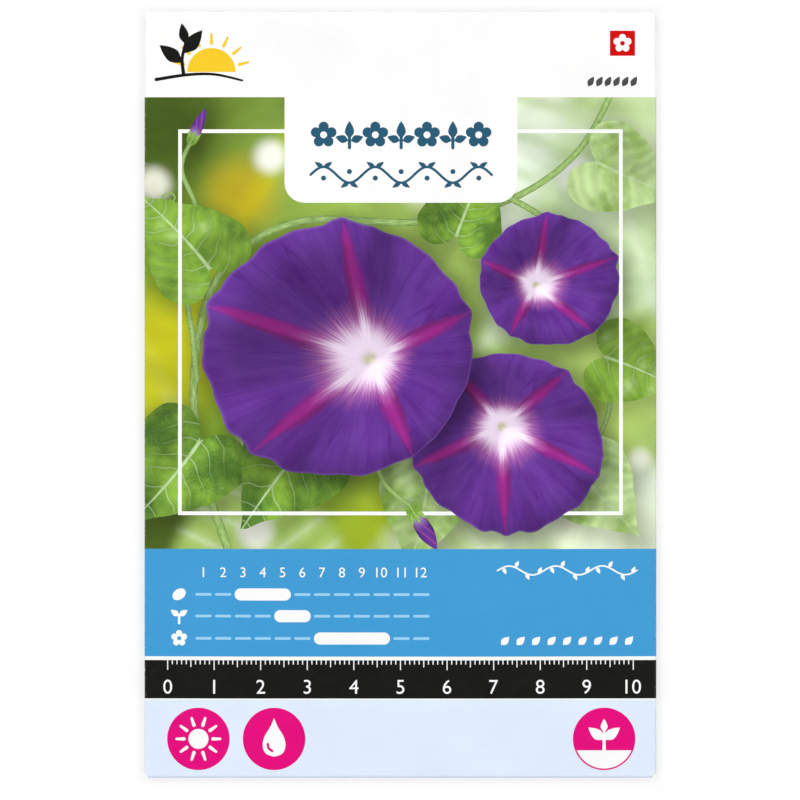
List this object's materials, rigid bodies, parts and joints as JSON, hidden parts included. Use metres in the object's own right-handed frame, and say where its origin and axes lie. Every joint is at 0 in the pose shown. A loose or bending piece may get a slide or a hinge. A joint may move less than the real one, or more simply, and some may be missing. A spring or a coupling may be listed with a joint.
{
  "type": "seed packet",
  "caption": "Sealed flat paper packet of flower seeds, one folded and glued sheet with a flower print, slightly swollen over the loose seeds inside.",
  "frame": {"origin": "under the middle of the packet, on the surface that its back lies on", "axes": "+X to the right across the printed front, +Y towards the top of the print, +Z out of the front"},
  "size_m": [0.11, 0.165, 0.0043],
  "materials": {
    "printed_paper": "satin",
    "glue": "satin",
    "seed_coat": "matte"
  },
  "bodies": {
    "root": {"paper_envelope": "printed_paper", "side_seam_glue": "glue", "bottom_flap_glue": "glue", "top_flap_glue": "glue", "seed_01": "seed_coat", "seed_02": "seed_coat", "seed_03": "seed_coat", "seed_04": "seed_coat", "seed_05": "seed_coat", "seed_06": "seed_coat", "seed_07": "seed_coat", "seed_08": "seed_coat", "seed_09": "seed_coat", "seed_10": "seed_coat", "seed_11": "seed_coat", "seed_12": "seed_coat", "seed_13": "seed_coat", "seed_14": "seed_coat", "seed_15": "seed_coat", "seed_16": "seed_coat", "seed_17": "seed_coat", "seed_18": "seed_coat", "seed_19": "seed_coat", "seed_20": "seed_coat", "seed_21": "seed_coat", "seed_22": "seed_coat", "seed_23": "seed_coat", "seed_24": "seed_coat", "seed_25": "seed_coat", "seed_26": "seed_coat", "seed_27": "seed_coat", "seed_28": "seed_coat", "seed_29": "seed_coat", "seed_30": "seed_coat", "seed_31": "seed_coat", "seed_32": "seed_coat", "seed_33": "seed_coat", "seed_34": "seed_coat", "seed_35": "seed_coat", "seed_36": "seed_coat"}
  },
  "joints": []
}
